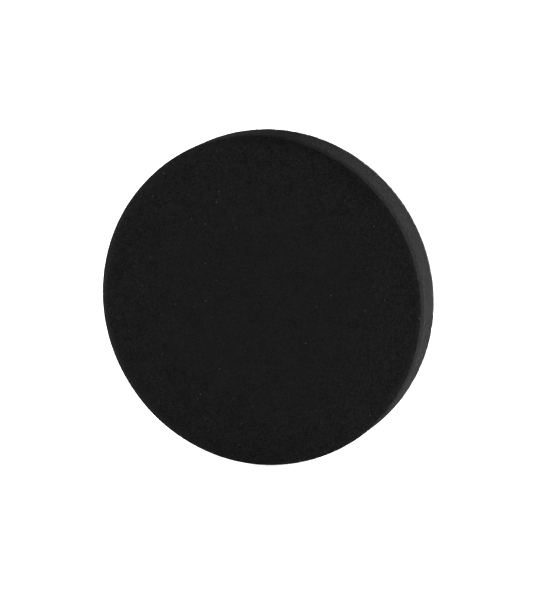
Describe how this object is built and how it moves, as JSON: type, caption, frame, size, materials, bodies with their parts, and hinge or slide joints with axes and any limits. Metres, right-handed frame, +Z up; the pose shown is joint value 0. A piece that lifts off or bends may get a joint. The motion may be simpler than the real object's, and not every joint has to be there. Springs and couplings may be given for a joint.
{
  "type": "foam polishing pad",
  "caption": "Flat round foam polishing pad with a plain working face and a loop backing that grips a polisher's hook plate.",
  "frame": {"origin": "centre of the loop face, where the polisher's hook plate seats", "axes": "+Y out of the loop face along the disc axis, working face towards -Y, +Z up with the pad upright"},
  "size_m": [0.15, 0.022, 0.15],
  "materials": {
    "foam": "fine-celled black polyurethane foam, fully matte",
    "film": "black hot-melt film, slightly glossy at its cut edge",
    "ground_cloth": "black warp-knitted nylon ground",
    "pile_yarn": "black brushed nylon loops with a soft sheen"
  },
  "bodies": {
    "root": {"foam_disc": "foam", "adhesive_film": "film", "loop_ground": "ground_cloth", "loop_pile": "pile_yarn"}
  },
  "joints": []
}
